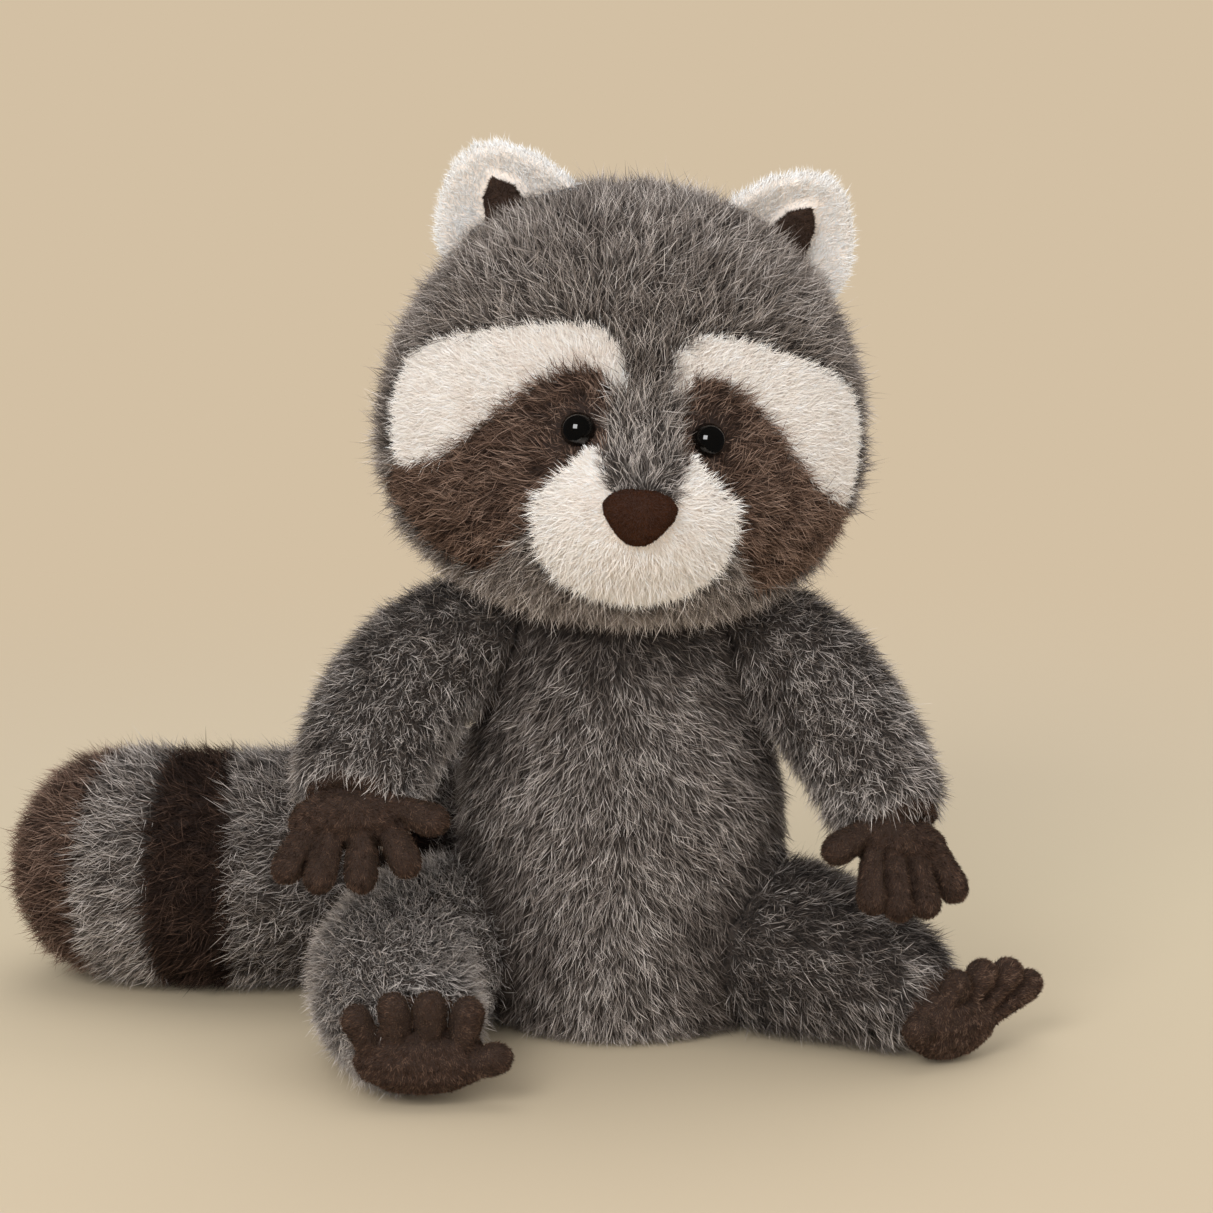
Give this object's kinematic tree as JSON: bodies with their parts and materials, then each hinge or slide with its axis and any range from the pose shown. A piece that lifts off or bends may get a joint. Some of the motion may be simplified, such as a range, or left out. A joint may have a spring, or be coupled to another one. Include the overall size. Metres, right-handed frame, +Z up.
{
  "type": "plush raccoon",
  "caption": "Seated soft plush raccoon with a shaggy grey coat, pale brows and muzzle, dark eye mask, velvet hands and feet, and a ringed tail.",
  "frame": {"origin": "middle of the seat: the flat underside of the body, on the surface that the toy sits on", "axes": "+Z up; the toy faces -Y; its own right hand is towards -X, and the tail lies towards -X behind it"},
  "size_m": [0.3148, 0.2056, 0.2678],
  "materials": {
    "grey_pile": "long shaggy pile",
    "brown_pile": "long shaggy pile",
    "cream_pile": "short dense pile",
    "brown_velvet": "short velvet",
    "nose_velvet": "short velvet",
    "fibre_fill": "loose polyester fibre",
    "black_gloss": "gloss",
    "washer_plastic": "matte"
  },
  "bodies": {
    "root": {"head_cover": "grey_pile", "head_filling": "fibre_fill", "muzzle_panel": "cream_pile", "nose": "nose_velvet", "mask_panel_right": "brown_pile", "brow_panel_right": "cream_pile", "eye_right": "black_gloss", "eye_washer_right": "washer_plastic", "ear_right": "cream_pile", "ear_lining_right": "brown_velvet", "mask_panel_left": "brown_pile", "brow_panel_left": "cream_pile", "eye_left": "black_gloss", "eye_washer_left": "washer_plastic", "ear_left": "cream_pile", "ear_lining_left": "brown_velvet", "body_cover": "grey_pile", "body_filling": "fibre_fill", "arm_cover_right": "grey_pile", "arm_filling_right": "fibre_fill", "hand_right": "brown_velvet", "leg_cover_right": "grey_pile", "leg_filling_right": "fibre_fill", "foot_right": "brown_velvet", "arm_cover_left": "grey_pile", "arm_filling_left": "fibre_fill", "hand_left": "brown_velvet", "leg_cover_left": "grey_pile", "leg_filling_left": "fibre_fill", "foot_left": "brown_velvet", "tail_band_1_dark": "brown_pile", "tail_band_2_grey": "grey_pile", "tail_band_3_dark": "brown_pile", "tail_band_4_grey": "grey_pile", "tail_band_5_dark": "brown_pile", "tail_band_6_grey": "grey_pile", "tail_filling": "fibre_fill"}
  },
  "joints": []
}
